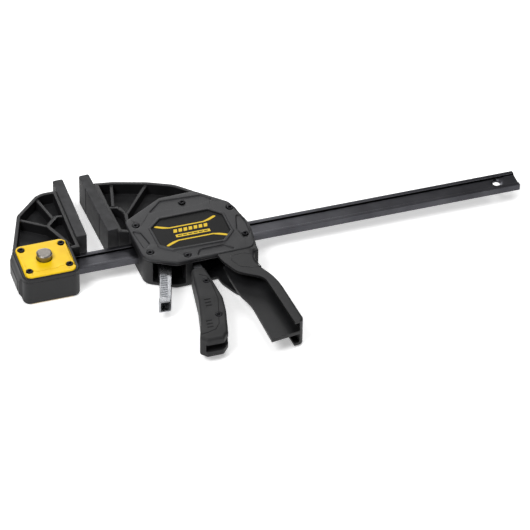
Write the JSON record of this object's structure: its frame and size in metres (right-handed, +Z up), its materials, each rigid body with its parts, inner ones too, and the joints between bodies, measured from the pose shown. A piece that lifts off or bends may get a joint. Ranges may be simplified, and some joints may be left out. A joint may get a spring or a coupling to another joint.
{
  "type": "trigger bar clamp",
  "caption": "Trigger bar clamp lying on its side: a steel bar with a fixed jaw, and a sliding jaw body with pistol handle, squeeze trigger and release lever.",
  "frame": {"origin": "centre of the fixed pad's clamping face", "axes": "+X along the bar from the fixed jaw towards the bar's free end, the fixed pad's clamping direction; +Y towards the tips of the jaws, away from the handle; +Z up through the thickness, the side with the quick-change button"},
  "size_m": [0.4925, 0.2594, 0.038],
  "materials": {
    "black_steel": "satin black finish on rolled steel",
    "black_nylon": "fine-textured moulded glass-filled nylon",
    "cover_nylon": "fine-textured moulded nylon",
    "pad_rubber": "matt moulded rubber",
    "grip_rubber": "soft overmoulded elastomer",
    "yellow_paint": "gloss powder coat on pressed steel",
    "badge_black": "printed satin plastic",
    "zinc_steel": "zinc-plated steel",
    "spring_steel": "bare spring steel",
    "button_steel": "turned steel, dull nickel",
    "chrome_steel": "bright chrome on pressed steel",
    "black_screw": "black oxide",
    "acetal": "natural acetal"
  },
  "bodies": {
    "bar_and_fixed_jaw": {"bar": "black_steel", "fixed_jaw": "black_nylon", "fixed_jaw_plate": "yellow_paint", "fixed_jaw_base_plate": "yellow_paint", "fixed_jaw_plate_screws": "black_screw", "fixed_jaw_base_screws": "black_screw", "fixed_pad": "pad_rubber", "lock_springs": "spring_steel"},
    "lock_button": {"quick_change_button": "button_steel", "lock_yoke": "zinc_steel", "lock_pin": "zinc_steel"},
    "moving_jaw": {"jaw_body": "black_nylon", "moving_pad": "pad_rubber", "top_cover": "cover_nylon", "bottom_cover": "cover_nylon", "top_cover_screws": "black_screw", "bottom_cover_screws": "black_screw", "top_badge": "badge_black", "bottom_badge": "badge_black", "front_guide": "acetal", "rear_guide": "acetal", "handle_grip": "grip_rubber", "trigger_pivot_pin": "zinc_steel", "brake_pivot_pin": "zinc_steel", "clutch_springs": "spring_steel", "brake_spring": "spring_steel"},
    "trigger": {"trigger_grip": "black_nylon", "trigger_skin": "grip_rubber", "trigger_plates": "zinc_steel", "trigger_screws": "black_screw"},
    "clutch": {"clutch_plates": "zinc_steel"},
    "release": {"brake_plates": "zinc_steel", "release_lever": "chrome_steel", "release_rivet": "zinc_steel"}
  },
  "joints": [
    {"name": "jaw_slide", "type": "slide", "parent": "bar_and_fixed_jaw", "child": "moving_jaw", "axis": [1, 0, 0], "range_m": [-0.015, 0.26]},
    {"name": "trigger_squeeze", "type": "hinge", "parent": "moving_jaw", "child": "trigger", "pos_m": [0.088, -0.039, 0], "axis": [0, 0, 1], "range_deg": [0, 16], "stiffness_Nm_per_rad": 0.6, "springref_deg": -14.32},
    {"name": "clutch_slide", "type": "slide", "parent": "moving_jaw", "child": "clutch", "axis": [1, 0, 0], "range_m": [0, 0.0068], "deforming": ["clutch_springs"]},
    {"name": "release_pull", "type": "hinge", "parent": "moving_jaw", "child": "release", "pos_m": [0.066, -0.045, 0], "axis": [0, 0, 1], "range_deg": [0, 6], "stiffness_Nm_per_rad": 0.5, "springref_deg": -14.32, "deforming": ["brake_spring"]},
    {"name": "button_press", "type": "slide", "parent": "bar_and_fixed_jaw", "child": "lock_button", "axis": [0, 0, -1], "range_m": [0, 0.004], "stiffness_N_per_m": 400, "springref_m": -0.005, "deforming": ["lock_springs"]}
  ],
  "couplings": [
    {"joint": "clutch_slide", "follows": "trigger_squeeze", "m_per_rad": 0.024}
  ]
}
